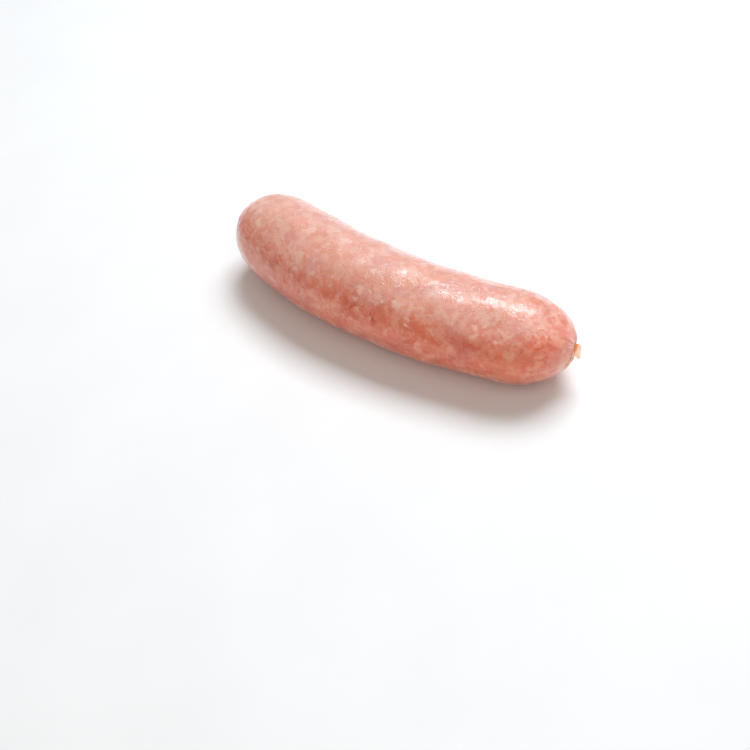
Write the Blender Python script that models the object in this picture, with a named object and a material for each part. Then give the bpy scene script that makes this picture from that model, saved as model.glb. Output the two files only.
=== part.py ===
"""A fresh sausage link: coarse pork filling in a natural casing, closed at both ends.

Metres, +Z up. The link lies on its side on Z = 0, with its origin below the middle of its
box. It runs along X from its blunt left end to its round right end, and both ends bend
toward +Y.
"""

import math
import random

import bmesh
import bpy
import numpy as np
from mathutils import Vector

# The stuffed casing. A cubic gives its slope, bow and twist, in steps from the middle.
LENGTH = 0.1434  # from pole to pole, along the centreline
MIDDLE_RADIUS = 0.0175
RADIUS_CUBIC = (-0.171, -0.231, 0.883)
MIDDLE_HEADING = 0.025  # of the centreline, in radians from +X
HEADING_CUBIC = (0.653, -0.303, -0.036)
SETTLED = 0.0005  # how much of the soft belly lies flat on the surface below

# The ends. An exponent of 2 is round, and a higher one is blunter.
LEFT_DOME = {"length": 0.0303, "exponent": 3.72}
RIGHT_DOME = {"length": 0.0223, "exponent": 1.90}

# The tab of flattened casing that stands in a dimple at each pole and hangs down from it.
# Its droop, roll and twist are angles: how far it turns down, how far its left side is raised
# at the root, and how much that changes on the way to the tip.
LEFT_TAB = {
    "length": 0.0036, "half_width": 0.0011, "half_thickness": 0.00045,
    "droop": 1.1, "roll": -0.4, "twist": 0.7,
}
RIGHT_TAB = {
    "length": 0.0043, "half_width": 0.0015, "half_thickness": 0.00042,
    "droop": 1.2, "roll": 0.7, "twist": -0.9,
}
ROOT_BLEND = 2.5  # how softly a dome runs out into its tab
TAB_TURN = 0.5  # share of a tab's length in which it turns down
TAB_FLARE = 0.9  # how much wider a tab gets before its tip rounds off
TAB_TIP_POWER = 6  # a higher one makes the tip squarer
DIMPLE_DEPTH = 0.0008
DIMPLE_RADIUS = 0.0022

# Lumps of the filling under the casing
SEED = 7
LUMP_WAVES = 10
LUMP_HEIGHT = 0.00014
LUMP_SPACING = (0.012, 0.020)
LUMP_FADE = 0.008  # from each pole

# Pleats of gathered casing round each pole
PLEATS = 11
PLEAT_HEIGHT = 0.00035
PLEAT_PEAK = 0.0032  # distance from the pole where they stand highest
PLEAT_JITTER = 0.35  # of their even spacing
MAIN_PLEAT = {"angle": math.radians(219), "height": 0.0006, "half_width": math.radians(11)}

# The mesh
SIDES = 64
BODY_RINGS = 60
END_CROWDING = 0.5  # how much closer the rings stand at the ends than in the middle
TAB_RINGS = 6
TIP_GAP = 0.25  # between a tab's last ring and its full length, in ring steps
FINE_STEPS = 4000

CASING_COLOUR = (0.70, 0.305, 0.262, 1.0)
CASING_ROUGHNESS = 0.35


def cubic(coefficients, distance):
    """Slope, bow and twist of a quantity, at a distance from the left pole."""
    step = distance / LENGTH - 0.5
    slope, bow, twist = coefficients
    return slope * step + bow * step**2 + twist * step**3


def stuffed_radius(distance):
    """Radius that the casing would have there without its closed ends."""
    return MIDDLE_RADIUS * (1.0 + cubic(RADIUS_CUBIC, distance))


def dome_share(from_pole, dome):
    """How much of the stuffed radius an end has reached: 0 at its pole, 1 on the body."""
    inward = np.clip(1.0 - from_pole / dome["length"], 0.0, 1.0)
    return (1.0 - inward ** dome["exponent"]) ** (1.0 / dome["exponent"])


def outer_radius(distance):
    """Radius of the link there, with both ends closed."""
    ends = dome_share(distance, LEFT_DOME) * dome_share(LENGTH - distance, RIGHT_DOME)
    return stuffed_radius(distance) * ends


class Centreline:
    """The curved middle of the link, which rises and falls with the stuffed radius."""

    def __init__(self):
        self.distance = np.linspace(0.0, LENGTH, FINE_STEPS)
        heading = self.heading(self.distance)
        step = LENGTH / (FINE_STEPS - 1)
        self.x = np.cumsum(np.cos(heading)) * step
        self.y = np.cumsum(np.sin(heading)) * step

    def heading(self, distance):
        return MIDDLE_HEADING + cubic(HEADING_CUBIC, distance)

    def point(self, distance):
        x = np.interp(distance, self.distance, self.x)
        y = np.interp(distance, self.distance, self.y)
        return Vector((x, y, stuffed_radius(distance) - SETTLED))

    def axes(self, distance):
        """Forward along the line, and to its left."""
        heading = self.heading(distance)
        forward = Vector((math.cos(heading), math.sin(heading), 0.0))
        return forward, Vector((-forward.y, forward.x, 0.0))


def profile_stations():
    """Where the body's rings stand: distance, radius, outward normal, and run from the left pole."""
    spread = (1.0 - np.cos(np.linspace(0.0, math.pi, FINE_STEPS))) / 2.0
    distance = LENGTH * spread
    radius = outer_radius(distance)
    run = np.concatenate(([0.0], np.cumsum(np.hypot(np.diff(distance), np.diff(radius)))))
    along = np.gradient(distance)
    rise = np.gradient(radius)
    share = np.linspace(0.0, 1.0, BODY_RINGS)
    wanted = run[-1] * (share - END_CROWDING * np.sin(2.0 * math.pi * share) / (2.0 * math.pi))
    stations = []
    for at in wanted:
        normal = Vector((-np.interp(at, run, rise), np.interp(at, run, along))).normalized()
        stations.append((np.interp(at, run, distance), np.interp(at, run, radius), normal, at))
    return stations, run[-1]


def lump_waves(draw):
    """Waves in every direction through the straightened link, with their phases."""
    waves = []
    for _ in range(LUMP_WAVES):
        direction = Vector((draw.gauss(0, 1), draw.gauss(0, 1), draw.gauss(0, 1))).normalized()
        wave = direction * 2.0 * math.pi / draw.uniform(*LUMP_SPACING)
        waves.append((wave, draw.uniform(0, 2 * math.pi)))
    return waves


def lumps(waves, distance, radius, angle):
    """Height of the lumps there."""
    place = Vector((distance, radius * math.cos(angle), radius * math.sin(angle)))
    total = sum(math.sin(wave.dot(place) + phase) for wave, phase in waves)
    return LUMP_HEIGHT * total / math.sqrt(LUMP_WAVES / 2.0)


def draw_pleats(draw):
    """Angle, height and half width of each pleat round one pole."""
    spacing = 2.0 * math.pi / PLEATS
    pleats = []
    for k in range(PLEATS):
        angle = spacing * (k + PLEAT_JITTER * draw.uniform(-1.0, 1.0))
        pleats.append((angle, PLEAT_HEIGHT * draw.uniform(0.3, 1.0), spacing * draw.uniform(0.35, 0.5)))
    return pleats


def pleat_relief(pleats, from_pole, angle):
    """Height of a pole's pleats there, highest at their peak and gone on the body."""
    total = 0.0
    for middle, height, half_width in pleats:
        off = math.remainder(angle - middle, 2.0 * math.pi) / half_width
        if abs(off) < 1.0:
            total += height * math.cos(off * math.pi / 2.0) ** 2
    reach = from_pole / PLEAT_PEAK
    return total * reach * math.exp(1.0 - reach)


def dimple(from_pole):
    """How far the gathered casing pulls the dome in there."""
    return -DIMPLE_DEPTH * math.exp(-((from_pole / DIMPLE_RADIUS) ** 2))


def root_radius(tab, angle):
    """Radius of a tab's oval root in that direction."""
    off = angle - tab["roll"]
    return 1.0 / math.hypot(math.cos(off) / tab["half_width"], math.sin(off) / tab["half_thickness"])


def body_rings(centreline, draw):
    """The rings of the stuffed casing, from the left pole to the right one."""
    waves = lump_waves(draw)
    left_pleats = draw_pleats(draw)
    right_pleats = draw_pleats(draw)
    right_pleats.append((MAIN_PLEAT["angle"], MAIN_PLEAT["height"], MAIN_PLEAT["half_width"]))
    stations, full_run = profile_stations()
    rings = []
    for distance, radius, normal, run in stations:
        centre = centreline.point(distance)
        forward, left = centreline.axes(distance)
        near_left = run < full_run / 2.0
        tab = LEFT_TAB if near_left else RIGHT_TAB
        pleats = left_pleats if near_left else right_pleats
        from_pole = run if near_left else full_run - run
        fade = min(1.0, from_pole / LUMP_FADE)
        ring = []
        for k in range(SIDES):
            angle = 2.0 * math.pi * k / SIDES
            reach = (radius**ROOT_BLEND + root_radius(tab, angle) ** ROOT_BLEND) ** (1.0 / ROOT_BLEND)
            height = fade * lumps(waves, distance, radius, angle)
            height += pleat_relief(pleats, from_pole, angle) + dimple(from_pole)
            outward = left * math.cos(angle) + Vector((0.0, 0.0, math.sin(angle)))
            ring.append(centre + forward * height * normal.x + outward * (reach + height * normal.y))
        rings.append(ring)
    return rings


def tab_rings(centreline, tab, distance, sense):
    """The rings of a tab from its root outward; sense is 1 at the right pole, -1 at the left."""
    forward, left = centreline.axes(distance)
    place = centreline.point(distance) - forward * sense * DIMPLE_DEPTH
    step = tab["length"] / TAB_RINGS
    rings = []
    for k in range(1, TAB_RINGS + 1):
        share = k / (TAB_RINGS + TIP_GAP)
        bend = tab["droop"] * min(1.0, share / TAB_TURN)
        outward = forward * sense * math.cos(bend) + Vector((0.0, 0.0, -math.sin(bend)))
        place = place + outward * step
        lift = (outward * sense).cross(left)
        roll = tab["roll"] + tab["twist"] * share
        across = left * math.cos(roll) + lift * math.sin(roll)
        lift = lift * math.cos(roll) - left * math.sin(roll)
        tip = math.sqrt(1.0 - share**TAB_TIP_POWER)
        half_width = tab["half_width"] * (1.0 + TAB_FLARE * share) * tip
        half_thickness = tab["half_thickness"] * tip
        ring = []
        for side in range(SIDES):
            angle = 2.0 * math.pi * side / SIDES - tab["roll"]
            flat = across * half_width * math.cos(angle)
            ring.append(place + flat + lift * half_thickness * math.sin(angle))
        rings.append(ring)
    return rings


def skin_over(rings, name):
    """A closed mesh over the rings, with a point in the middle of the first and last."""
    shape = bmesh.new()
    loops = [[shape.verts.new(point) for point in ring] for ring in rings]
    for one, following in zip(loops, loops[1:]):
        for k in range(SIDES):
            after = (k + 1) % SIDES
            shape.faces.new((one[k], one[after], following[after], following[k]))
    for loop, ring, reverse in ((loops[0], rings[0], True), (loops[-1], rings[-1], False)):
        middle = shape.verts.new(sum(ring, Vector()) / SIDES)
        for k in range(SIDES):
            corners = (loop[(k + 1) % SIDES], loop[k]) if reverse else (loop[k], loop[(k + 1) % SIDES])
            shape.faces.new((*corners, middle))
    bmesh.ops.triangulate(shape, faces=shape.faces[:])
    bmesh.ops.recalc_face_normals(shape, faces=shape.faces[:])
    mesh = bpy.data.meshes.new(name)
    shape.to_mesh(mesh)
    shape.free()
    mesh.shade_smooth()
    return mesh


def lay_down(rings):
    """Flattens what would be below the surface, and puts the origin below the middle of the box."""
    points = [point for ring in rings for point in ring]
    middle_x = (min(p.x for p in points) + max(p.x for p in points)) / 2.0
    middle_y = (min(p.y for p in points) + max(p.y for p in points)) / 2.0
    for point in points:
        point.x -= middle_x
        point.y -= middle_y
        point.z = max(point.z, 0.0)


def casing_material():
    material = bpy.data.materials.new("raw_pork_in_casing")
    material.use_nodes = True
    shader = material.node_tree.nodes["Principled BSDF"]
    shader.inputs["Base Color"].default_value = CASING_COLOUR
    shader.inputs["Roughness"].default_value = CASING_ROUGHNESS
    shader.inputs["Metallic"].default_value = 0.0
    return material


def sausage_link():
    """The whole link with its two tabs, as one closed body."""
    draw = random.Random(SEED)
    centreline = Centreline()
    body = body_rings(centreline, draw)
    left_tab = tab_rings(centreline, LEFT_TAB, 0.0, -1)
    right_tab = tab_rings(centreline, RIGHT_TAB, LENGTH, 1)
    rings = left_tab[::-1] + body + right_tab
    lay_down(rings)
    link = bpy.data.objects.new("sausage_link", skin_over(rings, "sausage_link"))
    link.data.materials.append(casing_material())
    bpy.context.scene.collection.objects.link(link)
    return link


def main():
    for old in list(bpy.data.objects):
        bpy.data.objects.remove(old, do_unlink=True)
    sausage_link()


main()
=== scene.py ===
"""The looks of a fresh sausage link: its fine surface, its meat and casing, light and camera.

Metres, +Z up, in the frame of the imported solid. The fine surface repeats the solid's form and
adds relief that is too fine for it. The material reads places on the straightened link, in
millimetres.
"""

import math
import random

import bpy
import numpy as np
from mathutils import Matrix, Vector


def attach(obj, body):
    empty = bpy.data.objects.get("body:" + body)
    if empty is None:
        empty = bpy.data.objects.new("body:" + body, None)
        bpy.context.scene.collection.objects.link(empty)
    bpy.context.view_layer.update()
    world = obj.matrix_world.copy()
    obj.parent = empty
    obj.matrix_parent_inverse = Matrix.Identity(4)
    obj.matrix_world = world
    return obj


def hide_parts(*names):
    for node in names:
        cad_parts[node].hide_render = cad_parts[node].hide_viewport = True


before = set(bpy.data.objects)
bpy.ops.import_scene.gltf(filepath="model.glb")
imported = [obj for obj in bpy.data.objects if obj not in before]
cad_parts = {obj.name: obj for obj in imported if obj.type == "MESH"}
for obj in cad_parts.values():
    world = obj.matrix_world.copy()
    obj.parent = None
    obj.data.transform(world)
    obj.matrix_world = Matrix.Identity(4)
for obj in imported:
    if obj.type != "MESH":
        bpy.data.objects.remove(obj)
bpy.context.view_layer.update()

MM = 0.001
UP = np.array([0.0, 0.0, 1.0])

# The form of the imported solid, repeated here from its own sizes. A cubic gives the slope, bow
# and twist of a quantity, in steps from the middle.
LENGTH = 0.1434  # from pole to pole, along the centreline
MIDDLE_RADIUS = 0.0175
RADIUS_CUBIC = (-0.171, -0.231, 0.883)
MIDDLE_HEADING = 0.025  # of the centreline, in radians from +X
HEADING_CUBIC = (0.653, -0.303, -0.036)
SETTLED = 0.0005  # how much of the soft belly lies flat on the surface below

# The ends. An exponent of 2 is round, and a higher one is blunter.
LEFT_DOME = {"length": 0.0303, "exponent": 3.72}
RIGHT_DOME = {"length": 0.0223, "exponent": 1.90}

# The tab of flattened casing at each pole. Its droop, roll and twist are angles: how far it
# turns down, how far its left side is raised at the root, and how much that changes on the
# way to the tip.
LEFT_TAB = {
    "length": 0.0036, "half_width": 0.0011, "half_thickness": 0.00045,
    "droop": 1.1, "roll": -0.4, "twist": 0.7,
}
RIGHT_TAB = {
    "length": 0.0043, "half_width": 0.0015, "half_thickness": 0.00042,
    "droop": 1.2, "roll": 0.7, "twist": -0.9,
}
ROOT_BLEND = 2.5  # how softly a dome runs out into its tab
TAB_TURN = 0.5  # share of a tab's length in which it turns down
TAB_FLARE = 0.9  # how much wider a tab gets before its tip rounds off
TAB_TIP_POWER = 6  # a higher one makes the tip squarer
DIMPLE_DEPTH = 0.0008
DIMPLE_RADIUS = 0.0022

# Lumps of the filling under the casing
SEED = 7
LUMP_WAVES = 10
LUMP_HEIGHT = 0.00014
LUMP_SPACING = (0.012, 0.020)
LUMP_FADE = 0.008  # from each pole

# Pleats of gathered casing round each pole
PLEATS = 11
PLEAT_HEIGHT = 0.00035
PLEAT_PEAK = 0.0032  # distance from the pole where they stand highest
PLEAT_JITTER = 0.35  # of their even spacing
PLEAT_HEIGHT_SHARES = (0.3, 1.0)  # of that height
PLEAT_HALF_WIDTHS = (0.35, 0.5)  # of their even spacing
MAIN_PLEAT = {"angle": math.radians(219), "height": 0.0006, "half_width": math.radians(11)}

# The fine mesh
SIDES = 256
BODY_RINGS = 360
END_CROWDING = 0.25  # how much closer the rings stand at the ends than in the middle
TAB_RINGS = 10
TIP_GAP = 0.25  # between a tab's last ring and its full length, in ring steps
FINE_STEPS = 4000

# Chunks of meat and fat that push up the casing
CHUNK_SEED = 21
CHUNK_WAVES = 40
CHUNK_HEIGHT = 0.00002
CHUNK_SPACING = (0.0028, 0.0065)

# Curling wrinkles of the casing: ridges along the zero lines of a swirled field, in patches
WRINKLE_SEED = 5
WRINKLE_WAVES = 28
WRINKLE_HEIGHT = 0.000022
WRINKLE_SPACING = (0.0022, 0.0038)
WRINKLE_WIDTH = 0.75  # of a ridge, in the field's own spread
SWIRL_SPACING = (0.005, 0.010)
SWIRL_REACH = 0.0016
PATCH_SPACING = (0.008, 0.016)
PATCH_SHARPNESS = 3.0  # a higher one makes the patches end more abruptly

# Fine pleats between the main ones
FINE_PLEATS = 30
FINE_PLEAT_HEIGHT = 0.00012

# Where the gathered casing is thick enough to look pale: fine folds low on the right end,
# lower at first, and a few above them
GATHER_PEAK = 0.0074
GATHER_FOLDS = 11
GATHER_FROM = math.radians(166)
GATHER_STEP = math.radians(4.6)
GATHER_HALF_WIDTH = math.radians(3.0)
GATHER_HEIGHT = 0.00006
GATHER_HEIGHT_SHARES = (0.55, 1.1)
FIRST_FOLD_SHARE = 0.5
FOLD_RISE = 0.25  # of that share from one fold to the next, up to 1
PLAIN_SHARE = 0.25  # how pale the pleats are beside these folds
UPPER_FOLDS = (math.radians(106), math.radians(117), math.radians(130))
UPPER_PEAK = 0.0024

# The crease that runs on from the right tab down the end, and the rim that stands over it
CREASE_START = 0.0032  # from the pole
CREASE_FROM = math.radians(166)
CREASE_TO = math.radians(218)
CREASE_TURN = 0.0022  # distance in which it turns most of the way
CREASE_END = 0.0090
CREASE_WIDTH = 0.0006
CREASE_DEPTH = 0.00025
RIM_OFF = 0.0010
RIM_HEIGHT = 0.00035


def srgb(red, green, blue):
    """A colour of 0..255 screen values as the shader's linear values."""
    channels = [c / 255.0 for c in (red, green, blue)]
    return (*[c / 12.92 if c <= 0.04045 else ((c + 0.055) / 1.055) ** 2.4 for c in channels], 1.0)


# The meat and casing, as screen colours
PINK = srgb(240, 161, 148)
SALMON = srgb(241, 155, 127)
MAUVE = srgb(218, 131, 130)
LEAN_RED = srgb(227, 114, 79)
SOFT_FAT = srgb(250, 200, 184)
CREAM = srgb(255, 226, 212)
DEEP_RED = srgb(206, 96, 80)
# Painted sheen: the pale haze laid over the top
SHEEN_PINK = srgb(216, 170, 153)
VEIL = srgb(253, 214, 199)
END_PINK = srgb(236, 160, 147)
TAB_CREAM = srgb(255, 216, 180)
# Painted shade: the brown of the groove at each tab's root and in the crease
GROOVE_SHADE_BROWN = srgb(236, 132, 58)

# Tints that the colours are multiplied by, as linear values: random darker patches, and painted shade on
# the flank and under the belly
DUSK = (0.93, 0.80, 0.78, 1.0)
# Painted shade: the lower flank darker and warmer, as if shaded and lit by warm bounced light
PAINTED_FLANK_SHADE = (0.95, 0.62, 0.44, 1.0)
# Painted shade: the underside darker, as in the link's own shadow
PAINTED_BELLY_SHADE = (0.80, 0.64, 0.56, 1.0)

# Below, sizes and moves are millimetres of the straightened link. An edge holds the two values
# of a noise or a distance between which something fades in, and a share is how much of a
# colour shows at most.

# The places that the patches are drawn in: each pushed about by noise of that size and reach
LOOSE = {"moved": None, "size": 9.0, "reach": 4.0}
NEAR = {"moved": (31.0, 7.0, 19.0), "size": 4.5, "reach": 2.4}
CLOSE = {"moved": None, "size": 1.8, "reach": 0.7}  # pushed about once more, from the near one

# The meat at the bottom, from salmon to pink
GROUND = {"size": 16.0, "salmon": 0.38, "pink": 0.60}

# How strongly the middle-sized patches show, from place to place
DEPTH = {"moved": (70.0, 4.0, 2.0), "size": 3.4, "edge": (0.36, 0.62), "least": 0.35}

# Patches of lean and fat over it, the lowest first; soft is how far their sides run together
SMALL_PATCHES = {"place": "close", "moved": (60.0, 12.0, 30.0), "size": 1.5, "soft": 0.3, "deep": False}
PATCHES = (
    {
        "place": "loose", "moved": (5.0, 40.0, 3.0), "size": 7.0, "soft": 0.8, "deep": False,
        "edge": (0.50, 0.85), "colour": MAUVE, "share": 0.90,
    },
    {
        "place": "near", "moved": None, "size": 4.6, "soft": 0.5, "deep": True,
        "edge": (0.46, 0.80), "colour": LEAN_RED, "share": 0.95,
    },
    {
        "place": "near", "moved": (14.0, 33.0, 6.0), "size": 3.9, "soft": 0.5, "deep": True,
        "edge": (0.50, 0.85), "colour": SOFT_FAT, "share": 0.95,
    },
    {
        "place": "close", "moved": (2.0, 8.0, 51.0), "size": 2.6, "soft": 0.40, "deep": False,
        "edge": (0.54, 0.85), "colour": LEAN_RED, "share": 0.60,
    },
    {**SMALL_PATCHES, "edge": (0.55, 0.80), "colour": SOFT_FAT, "share": 0.34},
    {**SMALL_PATCHES, "edge": (0.40, 0.15), "colour": LEAN_RED, "share": 0.30},
)

# Separate pieces of fat over those, and a few dark dots. The chance is the share of cells of that
# size that hold one, and its widest radius and soft edge are in cells.
FAT_PIECES = (
    {"moved": (8.0, 21.0, 4.0), "size": 5.0, "chance": 0.40, "widest": 0.40, "soft": 0.24, "share": 0.60},
    {"moved": None, "size": 3.6, "chance": 0.38, "widest": 0.38, "soft": 0.22, "share": 0.65},
    {"moved": (6.0, 3.0, 9.0), "size": 2.5, "chance": 0.15, "widest": 0.36, "soft": 0.18, "share": 0.85},
)
DOTS = {"moved": (3.0, 50.0, 11.0), "size": 2.6, "chance": 0.08, "widest": 0.16, "soft": 0.10, "share": 0.5}

# Large darker patches over the meat and fat
DUSKY_PATCHES = {"moved": (40.0, 9.0, 77.0), "size": 9.0, "detail": 1.0, "edge": (0.50, 0.68)}

# Fine fibres in the meat, darker at one end of their noise and paler at the other
FIBRE_WARP = {"moved": None, "size": 3.0, "reach": 2.4}
FIBRES = {"size": 1.0, "detail": 3.0, "roughness": 0.65}
LEAN_FIBRES = {"edge": (0.50, 0.30), "share": 0.30}
PALE_FIBRES = {"edge": (0.52, 0.72), "share": 0.25}

# Thin pale lines of tissue, along the borders of warped cells and broken off by noise
THREAD_WARP = {"moved": None, "size": 8.0, "reach": 5.0}
THREADS = {"size": 13.0, "edge": (0.020, 0.004), "share": 0.35}
THREAD_BREAKS = {"size": 9.0, "edge": (0.52, 0.62)}

# Colours laid over the meat: painted shade on the flank, under the belly, in the crease and at
# the tab roots, painted sheen on the top, and the casing's own paler ends and folds. Heights are
# metres above the surface that the link lies on, and aside is to the centreline's left.
FLANK_SHADE_HEIGHTS = (0.0345, 0.020)
FLANK_SHADE_ASIDE = (9.0, -3.0)
FLANK_SHADE_BACK_SHARE = 0.45  # of the flank's painted shade on the side that faces away from the camera
BELLY_SHADE_HEIGHTS = (0.020, 0.004)
# Painted sheen: the top paler and lower in contrast, as gloss would make it
PAINTED_TOP_SHEEN = {"edge": (0.024, 0.035), "share": 0.57}
PALE_END = {"edge": (17.0, 6.0), "share": 0.48}  # from the pole
PALE_FOLDS = {"edge": (0.15, 1.2), "share": 0.80}  # of a gathered fold's full height
# Painted shade in the crease
PAINTED_CREASE_SHADE = {"edge": (0.1, 0.9), "share": 0.9}  # of the crease's full depth
# Painted shade: the tab's root and the dimple round the pole brown, its tip cream
TAB_EDGE = (1.9, 0.5)  # from the pole
TAB_CREAM_TO_SHADE = (-1.7, -0.4)  # from the pole, and below 0 out along the tab

# The casing's finest wrinkles, for the bump: ridges where a warped noise crosses its middle
CURL_WARP = {"moved": None, "size": 3.2, "reach": 2.2}
CURLS = {"size": 1.1, "detail": 1.0, "roughness": 0.4}
CURL_HALF_WIDTH = 0.10  # in the noise's values
CURL_PATCHES = {"size": 4.5, "edge": (0.40, 0.58), "least": 0.12}
CURL_HEIGHT = 0.00006  # metres

# The finish of the casing
ROUGHNESS = {"size": 4.0, "detail": 3.0, "edge": (0.3, 0.7), "range": (0.34, 0.48)}
SUBSURFACE = {"edge": (0.0, 2.0), "weight": 0.22}  # from the pole; the tabs have none
CASING_FINISH = {
    "Subsurface Radius": (1.0, 0.35, 0.2),
    "Subsurface Scale": 0.003,
    "IOR": 1.4,
    "Coat Weight": 1.0,
    "Coat Roughness": 0.13,
    "Coat IOR": 1.45,
    "Sheen Weight": 0.03,
    "Sheen Roughness": 0.25,
    "Sheen Tint": (0.86, 0.84, 1.0, 1.0),
}

# The floor under it, in metres
FLOOR_HALF_WIDTH = 3.0
FLOOR_DROP = 0.00005  # below the link's flat belly, so that the two faces don't coincide
FLOOR_CLOUDS = 0.05
FLOOR_COLOURS = ((0.3, (0.86, 0.855, 0.845, 1.0)), (0.7, (0.88, 0.875, 0.865, 1.0)))
FLOOR_FINISH = {"Roughness": 0.8, "Specular IOR Level": 0.2}

# The camera, as the photograph was taken: from the middle of the link, in metres and degrees
CAMERA_OFFSET = (0.16356, -0.17174)
CAMERA_HEIGHT = 0.26308  # above the floor
CAMERA_HEADING = 135.976
CAMERA_TILT = 50.61  # below level
CAMERA_ROLL = 13.04
CAMERA_FOCAL_SHARE = 943.07 / 750  # focal length over the width of the picture
CAMERA_NEAR = 0.01

# The light: directions in degrees from the middle of the link, distances and sizes in metres
SOFTBOXES = (
    {
        "name": "key", "azimuth": 90.0, "elevation": 61.0, "distance": 1.0,
        "size": (0.64, 0.42), "watts": 10.5, "colour": (0.87, 0.93, 1.0),
    },
    {
        "name": "back", "azimuth": 136.0, "elevation": 22.0, "distance": 1.4,
        "size": (1.6, 0.6), "watts": 1.6, "colour": (1.0, 0.98, 0.97),
    },
    {
        "name": "front", "azimuth": -50.0, "elevation": 50.0, "distance": 1.6,
        "size": (2.4, 1.6), "watts": 12.4, "colour": (1.0, 0.94, 0.85),
    },
)
ROOM = {"Color": (1.0, 0.99, 0.98, 1.0), "Strength": 0.18}


def cubic(coefficients, distance):
    """Slope, bow and twist of a quantity, at a distance from the left pole."""
    step = distance / LENGTH - 0.5
    slope, bow, twist = coefficients
    return slope * step + bow * step**2 + twist * step**3


def stuffed_radius(distance):
    """Radius that the casing would have there without its closed ends."""
    return MIDDLE_RADIUS * (1.0 + cubic(RADIUS_CUBIC, distance))


def dome_share(from_pole, dome):
    """How much of the stuffed radius an end has reached: 0 at its pole, 1 on the body."""
    inward = np.clip(1.0 - from_pole / dome["length"], 0.0, 1.0)
    return (1.0 - inward ** dome["exponent"]) ** (1.0 / dome["exponent"])


def outer_radius(distance):
    """Radius of the link there, with both ends closed."""
    ends = dome_share(distance, LEFT_DOME) * dome_share(LENGTH - distance, RIGHT_DOME)
    return stuffed_radius(distance) * ends


def heading_at(distance):
    """Direction of the centreline there, in radians from +X."""
    return MIDDLE_HEADING + cubic(HEADING_CUBIC, distance)


def centreline(distance):
    """Points, forward directions and left directions of the centreline, one row each."""
    fine = np.linspace(0.0, LENGTH, FINE_STEPS)
    step = LENGTH / (FINE_STEPS - 1)
    x = np.interp(distance, fine, np.cumsum(np.cos(heading_at(fine))) * step)
    y = np.interp(distance, fine, np.cumsum(np.sin(heading_at(fine))) * step)
    heading = heading_at(distance)
    none = np.zeros_like(x)
    point = np.stack([x, y, stuffed_radius(distance) - SETTLED], axis=-1)
    forward = np.stack([np.cos(heading), np.sin(heading), none], axis=-1)
    left = np.stack([-np.sin(heading), np.cos(heading), none], axis=-1)
    return point, forward, left


def profile_stations():
    """Distance, radius, outward normal and run of each ring, and the whole run."""
    spread = (1.0 - np.cos(np.linspace(0.0, math.pi, FINE_STEPS))) / 2.0
    distance = LENGTH * spread
    radius = outer_radius(distance)
    run = np.concatenate(([0.0], np.cumsum(np.hypot(np.diff(distance), np.diff(radius)))))
    share = np.linspace(0.0, 1.0, BODY_RINGS)
    wanted = run[-1] * (share - END_CROWDING * np.sin(2.0 * math.pi * share) / (2.0 * math.pi))
    axial = -np.interp(wanted, run, np.gradient(radius))
    radial = np.interp(wanted, run, np.gradient(distance))
    size = np.hypot(axial, radial)
    at = (np.interp(wanted, run, distance), np.interp(wanted, run, radius))
    return *at, axial / size, radial / size, wanted, run[-1]


def draw_waves(draw, count, spacing):
    """Waves in every direction: their vectors and phases."""
    vectors, phases = [], []
    for _ in range(count):
        direction = Vector((draw.gauss(0, 1), draw.gauss(0, 1), draw.gauss(0, 1))).normalized()
        vectors.append(direction * 2.0 * math.pi / draw.uniform(*spacing))
        phases.append(draw.uniform(0, 2 * math.pi))
    return np.array(vectors), np.array(phases)


def wave_height(waves, place):
    """Their sum at each place, with a spread of about 1."""
    vectors, phases = waves
    return np.sin(place @ vectors.T + phases).sum(axis=-1) / math.sqrt(len(phases) / 2.0)


def wrinkle_relief(place):
    """Share of the wrinkles' full height, 0 to 1, at each place."""
    draw = random.Random(WRINKLE_SEED)
    swirls = [draw_waves(draw, WRINKLE_WAVES, SWIRL_SPACING) for _ in range(3)]
    lines = draw_waves(draw, WRINKLE_WAVES, WRINKLE_SPACING)
    patches = draw_waves(draw, WRINKLE_WAVES, PATCH_SPACING)
    swirl = np.stack([wave_height(waves, place) for waves in swirls], axis=-1)
    ridges = np.exp(-((wave_height(lines, place + SWIRL_REACH * swirl) / WRINKLE_WIDTH) ** 2))
    return ridges / (1.0 + np.exp(-PATCH_SHARPNESS * wave_height(patches, place)))


def draw_pleats(draw, count, height):
    """Angle, height and half width of each pleat round one pole."""
    spacing = 2.0 * math.pi / count
    pleats = []
    for k in range(count):
        angle = spacing * (k + PLEAT_JITTER * draw.uniform(-1.0, 1.0))
        tall = height * draw.uniform(*PLEAT_HEIGHT_SHARES)
        pleats.append((angle, tall, spacing * draw.uniform(*PLEAT_HALF_WIDTHS)))
    return pleats


def draw_folds(draw):
    """Angle, height and half width of each fold of gathered casing low on the right end."""
    folds = []
    for k in range(GATHER_FOLDS):
        share = min(1.0, FIRST_FOLD_SHARE + FOLD_RISE * k)
        height = GATHER_HEIGHT * share * draw.uniform(*GATHER_HEIGHT_SHARES)
        folds.append((GATHER_FROM + k * GATHER_STEP, height, GATHER_HALF_WIDTH))
    return folds


def pleat_relief(pleats, from_pole, angle, peak=PLEAT_PEAK):
    """Height of pleats or folds there, highest at their peak and gone on the body."""
    total = np.zeros(np.broadcast_shapes(from_pole.shape, angle.shape))
    for middle, height, half_width in pleats:
        off = (angle - middle + math.pi) % (2.0 * math.pi) - math.pi
        total += height * np.cos(np.clip(off / half_width, -1.0, 1.0) * math.pi / 2.0) ** 2
    reach = from_pole / peak
    return total * reach * np.exp(1.0 - reach)


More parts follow.
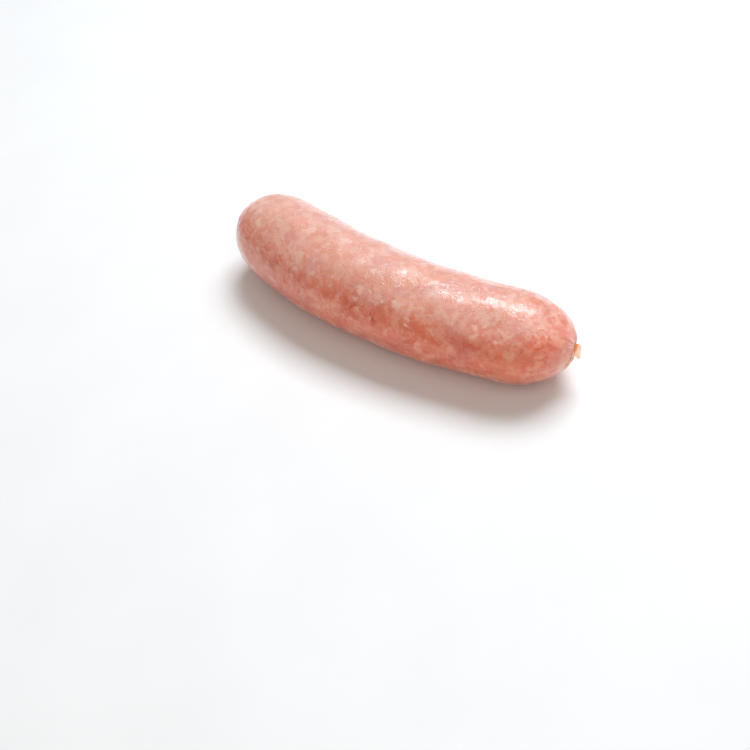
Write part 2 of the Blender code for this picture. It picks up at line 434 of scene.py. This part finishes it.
def crease_and_rim(from_pole, angle, wide):
    """Shares of the crease's full depth and of its rim's full height at each place."""
    turn = np.exp(-(from_pole - CREASE_START) / CREASE_TURN)
    aside = (angle - (CREASE_TO - (CREASE_TO - CREASE_FROM) * turn)) * wide
    begun = np.clip(from_pole / CREASE_START, 0.0, 1.0)
    reach = begun * np.clip((CREASE_END - from_pole) / CREASE_START, 0.0, 1.0)
    crease = reach * np.exp(-((aside / CREASE_WIDTH) ** 2))
    return crease, reach * np.exp(-(((aside - RIM_OFF) / CREASE_WIDTH) ** 2))


def root_radius(tab, angle):
    """Radius of a tab's oval root in that direction."""
    off = angle - tab["roll"]
    return 1.0 / np.hypot(np.cos(off) / tab["half_width"], np.sin(off) / tab["half_thickness"])


def body_relief(straight, from_pole, near_left, angle, wide):
    """Height of all relief on the body, how pale the folded casing is there, and its crease."""
    draw = random.Random(SEED)
    lump_waves = draw_waves(draw, LUMP_WAVES, LUMP_SPACING)
    left_pleats = draw_pleats(draw, PLEATS, PLEAT_HEIGHT)
    right_pleats = draw_pleats(draw, PLEATS, PLEAT_HEIGHT)
    right_pleats.append((MAIN_PLEAT["angle"], MAIN_PLEAT["height"], MAIN_PLEAT["half_width"]))
    fine_draw = random.Random(CHUNK_SEED)
    chunk_waves = draw_waves(fine_draw, CHUNK_WAVES, CHUNK_SPACING)
    fine_pleats = draw_pleats(fine_draw, FINE_PLEATS, FINE_PLEAT_HEIGHT)
    folds = draw_folds(fine_draw)
    upper_folds = [(middle, GATHER_HEIGHT, GATHER_HALF_WIDTH) for middle in UPPER_FOLDS]

    pleats = np.where(
        near_left,
        pleat_relief(left_pleats + fine_pleats, from_pole, angle),
        pleat_relief(right_pleats + fine_pleats, from_pole, angle),
    )
    gathered = pleat_relief(folds, from_pole, angle, GATHER_PEAK)
    gathered = gathered + pleat_relief(upper_folds, from_pole, angle, UPPER_PEAK)
    crease, rim = crease_and_rim(from_pole, angle, wide)
    gathered, crease, rim = (np.where(near_left, 0.0, part) for part in (gathered, crease, rim))
    pale = gathered / GATHER_HEIGHT + PLAIN_SHARE * pleats / PLEAT_HEIGHT

    height = LUMP_HEIGHT * wave_height(lump_waves, straight)
    height = height + CHUNK_HEIGHT * wave_height(chunk_waves, straight)
    height += WRINKLE_HEIGHT * wrinkle_relief(straight)
    height = np.minimum(1.0, from_pole / LUMP_FADE) * height + gathered + pleats
    height = height - DIMPLE_DEPTH * np.exp(-((from_pole / DIMPLE_RADIUS) ** 2))
    height += RIM_HEIGHT * rim - CREASE_DEPTH * crease
    return height, pale + rim, crease


def body_rings():
    """Points of the stuffed casing, and what its material reads at each of them."""
    distance, radius, axial, radial, run, full_run = profile_stations()
    angle = np.linspace(0.0, 2.0 * math.pi, SIDES, endpoint=False)[None, :]
    near_left = (run < full_run / 2.0)[:, None]
    from_pole = np.minimum(run, full_run - run)[:, None]
    wide = radius[:, None]
    around = (distance[:, None], wide * np.cos(angle), wide * np.sin(angle))
    straight = np.stack(np.broadcast_arrays(*around), axis=-1)
    height, fold, crease = body_relief(straight, from_pole, near_left, angle, wide)
    root = np.where(near_left, root_radius(LEFT_TAB, angle), root_radius(RIGHT_TAB, angle))
    reach = (wide**ROOT_BLEND + root**ROOT_BLEND) ** (1.0 / ROOT_BLEND)
    point, forward, left = (rows[:, None, :] for rows in centreline(distance))
    outward = left * np.cos(angle)[..., None] + UP * np.sin(angle)[..., None]
    points = point + forward * (height * axial[:, None])[..., None]
    points = points + outward * (reach + height * radial[:, None])[..., None]
    facts = {
        "straight": straight / MM,
        "from_pole": np.broadcast_to(from_pole / MM, height.shape),
        "fold": fold,
        "crease": crease,
    }
    return points, facts


def tab_rings(tab, distance, sense):
    """The same for a tab, from its root outward; sense is 1 at the right pole, -1 at the left."""
    place, forward, left = (Vector(row[0]) for row in centreline(np.array([distance])))
    place = place - forward * sense * DIMPLE_DEPTH
    step = tab["length"] / TAB_RINGS
    angle = np.linspace(0.0, 2.0 * math.pi, SIDES, endpoint=False)[:, None] - tab["roll"]
    rings, out = [], []
    for k in range(1, TAB_RINGS + 1):
        share = k / (TAB_RINGS + TIP_GAP)
        bend = tab["droop"] * min(1.0, share / TAB_TURN)
        outward = forward * sense * math.cos(bend) + Vector((0.0, 0.0, -math.sin(bend)))
        place = place + outward * step
        lift = (outward * sense).cross(left)
        roll = tab["roll"] + tab["twist"] * share
        across = left * math.cos(roll) + lift * math.sin(roll)
        lift = lift * math.cos(roll) - left * math.sin(roll)
        tip = math.sqrt(1.0 - share**TAB_TIP_POWER)
        half_width = tab["half_width"] * (1.0 + TAB_FLARE * share) * tip
        half_thickness = tab["half_thickness"] * tip
        flat = np.array(place) + np.array(across) * half_width * np.cos(angle)
        rings.append(flat + np.array(lift) * half_thickness * np.sin(angle))
        out.append(tab["length"] * share)
    points = np.array(rings)
    beyond = np.array(out)[:, None] + np.zeros((1, SIDES))
    none = np.zeros_like(beyond)
    end = LENGTH if sense > 0 else 0.0
    straight = np.stack([end + sense * beyond, points[..., 1], points[..., 2]], axis=-1)
    return points, {"straight": straight / MM, "from_pole": -beyond / MM, "fold": none, "crease": none}


def join_rings(parts):
    """One array of points, and of each fact, from the left tip to the right one."""
    points = np.concatenate([part[0] for part in parts])
    facts = {name: np.concatenate([part[1][name] for part in parts]) for name in parts[0][1]}
    return points, facts


def skin_over(name, points, facts):
    """A closed mesh over the rings with the facts as attributes, and a point at each tip."""
    rings, sides = points.shape[:2]
    corner = np.arange(rings * sides).reshape(rings, sides)
    after = np.roll(corner, -1, axis=1)
    quads = np.stack([corner[:-1], after[:-1], after[1:], corner[1:]], axis=-1).reshape(-1, 4)
    first, last = rings * sides, rings * sides + 1
    caps = [(int(after[0, k]), int(corner[0, k]), first) for k in range(sides)]
    caps += [(int(corner[-1, k]), int(after[-1, k]), last) for k in range(sides)]

    def with_tips(values):
        tips = [values[end].reshape(sides, -1).mean(0)[None] for end in (0, -1)]
        return np.concatenate([values.reshape(rings * sides, -1), *tips])

    mesh = bpy.data.meshes.new(name)
    mesh.from_pydata(with_tips(points).tolist(), [], quads.tolist() + caps)
    for fact, values in facts.items():
        kind, field = ("FLOAT_VECTOR", "vector") if values.ndim == 3 else ("FLOAT", "value")
        attribute = mesh.attributes.new(fact, kind, "POINT")
        attribute.data.foreach_set(field, with_tips(values).ravel())
    mesh.shade_smooth()
    mesh.validate()
    return mesh


def add_object(name, data):
    """A new object of that data, in the scene."""
    thing = bpy.data.objects.new(name, data)
    bpy.context.scene.collection.objects.link(thing)
    return thing


def make_link():
    """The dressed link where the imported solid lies, and the middle of its centreline."""
    left_points, left_facts = tab_rings(LEFT_TAB, 0.0, -1)
    left_facts = {name: values[::-1] for name, values in left_facts.items()}
    right_tab = tab_rings(RIGHT_TAB, LENGTH, 1)
    points, facts = join_rings([(left_points[::-1], left_facts), body_rings(), right_tab])
    low, high = points.min(axis=(0, 1)), points.max(axis=(0, 1))
    shift = np.array([-(low[0] + high[0]) / 2.0, -(low[1] + high[1]) / 2.0, 0.0])
    points = points + shift
    points[..., 2] = np.maximum(points[..., 2], 0.0)
    link = add_object("stuffed_link", skin_over("stuffed_link", points, facts))
    middle = centreline(np.array([LENGTH / 2.0]))[0][0] + shift
    return link, Vector(middle)


class Nodes:
    """Short ways to add and join the nodes of one new material."""

    def __init__(self, name):
        self.material = bpy.data.materials.new(name)
        self.material.use_nodes = True
        self.tree = self.material.node_tree
        self.shader = self.tree.nodes["Principled BSDF"]

    def feed(self, node, inputs):
        """Joins each input to a socket, or sets it to a value."""
        for name, value in inputs.items():
            if isinstance(value, bpy.types.NodeSocket):
                self.tree.links.new(value, node.inputs[name])
            else:
                node.inputs[name].default_value = value

    def add(self, kind, inputs=None, **settings):
        """A new shader node of that kind."""
        node = self.tree.nodes.new("ShaderNode" + kind)
        for name, value in settings.items():
            setattr(node, name, value)
        self.feed(node, inputs or {})
        return node

    def attribute(self, name, output="Fac"):
        return self.add("Attribute", attribute_name=name).outputs[output]

    def position(self):
        return self.add("NewGeometry").outputs["Position"]

    def part(self, vector, axis):
        return self.add("SeparateXYZ", {0: vector}).outputs[axis]

    def math(self, operation, a, b=0.0):
        return self.add("Math", {0: a, 1: b}, operation=operation).outputs[0]

    def vector(self, operation, a, b):
        return self.add("VectorMath", {0: a, 1: b}, operation=operation).outputs[0]

    def moved(self, place, offset):
        return self.vector("ADD", place, offset) if offset else place

    def ease(self, value, edge, ends=(0.0, 1.0)):
        """The value brought smoothly from the edge's two values to the two ends, and held outside."""
        inputs = {"Value": value, "From Min": edge[0], "From Max": edge[1]}
        inputs.update({"To Min": ends[0], "To Max": ends[1]})
        return self.add("MapRange", inputs, interpolation_type="SMOOTHSTEP").outputs["Result"]

    def noise(self, place, size, detail=2.0, roughness=0.5, output="Fac"):
        """Noise with features of that size, in the place's units."""
        inputs = {"Vector": place, "Scale": 1.0 / size, "Detail": detail, "Roughness": roughness}
        return self.add("TexNoise", inputs, noise_dimensions="3D").outputs[output]

    def cells(self, place, size, feature="F1", **more):
        """Irregular cells of that size, in the place's units."""
        inputs = {"Vector": place, "Scale": 1.0 / size, **more}
        return self.add("TexVoronoi", inputs, voronoi_dimensions="3D", feature=feature).outputs

    def red_of(self, colour):
        return self.add("SeparateColor", {"Color": colour}).outputs["Red"]

    def ramp(self, value, stops):
        """A smooth change from one colour to another, each with its position."""
        node = self.add("ValToRGB", {"Fac": value})
        node.color_ramp.interpolation = "EASE"
        for element, (position, colour) in zip(node.color_ramp.elements, stops):
            element.position = position
            element.color = colour
        return node.outputs["Color"]

    def mix(self, share, below, above, blend="MIX"):
        """One colour over another; the node's colour sockets are inputs 6 and 7 and output 2."""
        inputs = {0: share, 6: below, 7: above}
        return self.add("Mix", inputs, data_type="RGBA", blend_type=blend).outputs[2]


def warped(nodes, place, warp):
    """The place moved, then pushed about by noise of the warp's size, by up to about its reach."""
    place = nodes.moved(place, warp["moved"])
    push = nodes.noise(place, warp["size"], output="Color")
    centred = nodes.vector("SUBTRACT", push, (0.5, 0.5, 0.5))
    return nodes.vector("ADD", place, nodes.vector("MULTIPLY", centred, (2.0 * warp["reach"],) * 3))


def layer(nodes, colour, share, mask, above):
    """The colour with a share of the one above it where the mask is 1."""
    return nodes.mix(nodes.math("MULTIPLY", mask, share), colour, above)


def patches(nodes, place, row):
    """A mask of soft-edged patches: cells that each have a value of their own, 0 to 1."""
    place = nodes.moved(place, row["moved"])
    cells = nodes.cells(place, row["size"], "SMOOTH_F1", Smoothness=row["soft"])
    return nodes.ease(nodes.red_of(cells["Color"]), row["edge"])


def blobs(nodes, place, row):
    """A mask of separate soft-edged blobs, in cells that chance picks."""
    cells = nodes.cells(nodes.moved(place, row["moved"]), row["size"])
    radius = nodes.ease(nodes.red_of(cells["Color"]), (1.0 - row["chance"], 1.0), (0.0, row["widest"]))
    inside = nodes.math("SUBTRACT", radius, cells["Distance"])
    return nodes.ease(inside, (-row["soft"] / 2.0, row["soft"]))


def meat_colour(nodes, place):
    """Coarse meat and fat, in soft patches one over the other, as seen through the casing."""
    loose = warped(nodes, place, LOOSE)
    near = warped(nodes, place, NEAR)
    close = warped(nodes, near, CLOSE)
    places = {"loose": loose, "near": near, "close": close}
    depth = nodes.noise(nodes.moved(near, DEPTH["moved"]), DEPTH["size"])
    depth = nodes.ease(depth, DEPTH["edge"], (DEPTH["least"], 1.0))
    stops = ((GROUND["salmon"], SALMON), (GROUND["pink"], PINK))
    colour = nodes.ramp(nodes.noise(loose, GROUND["size"]), stops)
    for row in PATCHES:
        mask = patches(nodes, places[row["place"]], row)
        if row["deep"]:
            mask = nodes.math("MULTIPLY", mask, depth)
        colour = layer(nodes, colour, row["share"], mask, row["colour"])
    for row in FAT_PIECES:
        colour = layer(nodes, colour, row["share"], blobs(nodes, close, row), CREAM)
    dusk = nodes.moved(loose, DUSKY_PATCHES["moved"])
    dusk = nodes.noise(dusk, DUSKY_PATCHES["size"], DUSKY_PATCHES["detail"])
    colour = nodes.mix(nodes.ease(dusk, DUSKY_PATCHES["edge"]), colour, DUSK, "MULTIPLY")
    fibre = nodes.noise(warped(nodes, place, FIBRE_WARP), **FIBRES)
    for row, above in ((LEAN_FIBRES, LEAN_RED), (PALE_FIBRES, CREAM)):
        colour = layer(nodes, colour, row["share"], nodes.ease(fibre, row["edge"]), above)
    return layer(nodes, colour, DOTS["share"], blobs(nodes, place, DOTS), DEEP_RED)


def threads(nodes, place):
    """A mask of thin lines of tissue, broken off by noise."""
    cells = nodes.cells(warped(nodes, place, THREAD_WARP), THREADS["size"], "DISTANCE_TO_EDGE")
    line = nodes.ease(cells["Distance"], THREADS["edge"])
    unbroken = nodes.ease(nodes.noise(place, THREAD_BREAKS["size"]), THREAD_BREAKS["edge"])
    return nodes.math("MULTIPLY", line, unbroken)


def casing_colour(nodes, place):
    """The meat with painted shade on the flank, under the belly, in the crease and at the tab roots,
    painted sheen on the top, and the casing's paler ends and folds and its cream tabs.
    """
    from_pole = nodes.attribute("from_pole")
    height = nodes.part(nodes.position(), "Z")
    colour = layer(nodes, meat_colour(nodes, place), THREADS["share"], threads(nodes, place), CREAM)
    # Painted shade on the lower flank, full on the side towards the camera
    front = nodes.ease(nodes.part(place, "Y"), FLANK_SHADE_ASIDE, (FLANK_SHADE_BACK_SHARE, 1.0))
    flank_shade = nodes.math("MULTIPLY", nodes.ease(height, FLANK_SHADE_HEIGHTS), front)
    colour = nodes.mix(flank_shade, colour, PAINTED_FLANK_SHADE, "MULTIPLY")
    # Painted shade under the belly, darker towards the bottom
    colour = nodes.mix(nodes.ease(height, BELLY_SHADE_HEIGHTS), colour, PAINTED_BELLY_SHADE, "MULTIPLY")
    shades = (
        # Painted sheen on the top
        (height, PAINTED_TOP_SHEEN, SHEEN_PINK),
        (from_pole, PALE_END, END_PINK),
        (nodes.attribute("fold"), PALE_FOLDS, VEIL),
        # Painted shade in the crease
        (nodes.attribute("crease"), PAINTED_CREASE_SHADE, GROOVE_SHADE_BROWN),
    )
    for measure, row, above in shades:
        colour = nodes.mix(nodes.ease(measure, row["edge"], (0.0, row["share"])), colour, above)
    # Painted shade: brown at the tab's root and in the dimple round the pole, cream out towards the tab's
    # tip
    tab = nodes.ramp(nodes.ease(from_pole, TAB_CREAM_TO_SHADE), ((0.0, TAB_CREAM), (1.0, GROOVE_SHADE_BROWN)))
    return nodes.mix(nodes.ease(from_pole, TAB_EDGE), colour, tab)


def wrinkles(nodes, place):
    """Height of the casing's finest curling wrinkles, in 0..1, in patches."""
    curl = nodes.noise(warped(nodes, place, CURL_WARP), **CURLS)
    ridge = nodes.math("ABSOLUTE", nodes.math("SUBTRACT", curl, 0.5))
    ridge = nodes.ease(ridge, (0.0, CURL_HALF_WIDTH), (1.0, 0.0))
    patch = nodes.noise(place, CURL_PATCHES["size"])
    patch = nodes.ease(patch, CURL_PATCHES["edge"], (CURL_PATCHES["least"], 1.0))
    return nodes.math("MULTIPLY", ridge, patch)


def casing_material():
    """Moist casing, half clear over coarse pink meat and fat."""
    nodes = Nodes("raw_pork_in_casing")
    place = nodes.attribute("straight", "Vector")
    rough = nodes.noise(place, ROUGHNESS["size"], ROUGHNESS["detail"])
    bump = {"Height": wrinkles(nodes, place), "Distance": CURL_HEIGHT, "Strength": 1.0}
    normal = nodes.add("Bump", bump).outputs["Normal"]
    depth = nodes.ease(nodes.attribute("from_pole"), SUBSURFACE["edge"], (0.0, SUBSURFACE["weight"]))
    nodes.feed(nodes.shader, {
        "Base Color": casing_colour(nodes, place),
        "Roughness": nodes.ease(rough, ROUGHNESS["edge"], ROUGHNESS["range"]),
        "Normal": normal,
        "Coat Normal": normal,
        "Subsurface Weight": depth,
        **CASING_FINISH,
    })
    return nodes.material


def floor_material():
    """A pale matt floor with faint clouds."""
    nodes = Nodes("pale_floor")
    colour = nodes.ramp(nodes.noise(nodes.position(), FLOOR_CLOUDS), FLOOR_COLOURS)
    nodes.feed(nodes.shader, {"Base Color": colour, **FLOOR_FINISH})
    return nodes.material


def make_floor():
    """The wide square floor that the link lies on, which is no part of it."""
    mesh = bpy.data.meshes.new("floor")
    signs = ((-1, -1), (1, -1), (1, 1), (-1, 1))
    corners = [(x * FLOOR_HALF_WIDTH, y * FLOOR_HALF_WIDTH, -FLOOR_DROP) for x, y in signs]
    mesh.from_pydata(corners, [], [(0, 1, 2, 3)])
    mesh.materials.append(floor_material())
    floor = add_object("floor", mesh)


def direction(azimuth, elevation):
    """A unit vector that way, from degrees."""
    az, el = math.radians(azimuth), math.radians(elevation)
    return Vector((math.cos(az) * math.cos(el), math.sin(az) * math.cos(el), math.sin(el)))


def make_camera(middle):
    """The camera of the photograph, rolled about its own axis."""
    heading, roll = math.radians(CAMERA_HEADING), math.radians(CAMERA_ROLL)
    forward = direction(CAMERA_HEADING, -CAMERA_TILT)
    level = Vector((math.sin(heading), -math.cos(heading), 0.0))
    upright = level.cross(forward)
    right = level * math.cos(roll) - upright * math.sin(roll)
    up = upright * math.cos(roll) + level * math.sin(roll)
    data = bpy.data.cameras.new("camera")
    data.lens = CAMERA_FOCAL_SHARE * data.sensor_width
    data.clip_start = CAMERA_NEAR
    turned = Matrix((right, up, -forward)).transposed().to_4x4()
    turned.translation = (middle.x + CAMERA_OFFSET[0], middle.y + CAMERA_OFFSET[1], CAMERA_HEIGHT)
    camera = add_object("camera", data)
    camera.matrix_world = turned
    bpy.context.scene.camera = camera


def softbox(target, name, azimuth, elevation, distance, size, watts, colour):
    """A rectangular lamp that faces the target from that direction."""
    toward = direction(azimuth, elevation)
    data = bpy.data.lights.new(name, "AREA")
    data.shape = "RECTANGLE"
    data.size, data.size_y = size
    data.energy = watts
    data.color = colour
    lamp = add_object(name, data)
    lamp.location = target + toward * distance
    lamp.rotation_euler = toward.to_track_quat("Z", "Y").to_euler()


def make_light(middle):
    """Even light from the room, and the softboxes."""
    world = bpy.data.worlds.new("studio")
    world.use_nodes = True
    for name, value in ROOM.items():
        world.node_tree.nodes["Background"].inputs[name].default_value = value
    bpy.context.scene.world = world
    for box in SOFTBOXES:
        softbox(middle, **box)


link_piece, link_middle = make_link()
link_piece.data.materials.append(casing_material())
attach(link_piece, "root")
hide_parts("sausage_link")
make_floor()
make_camera(link_middle)
make_light(link_middle)
bpy.context.scene.view_settings.view_transform = "Standard"
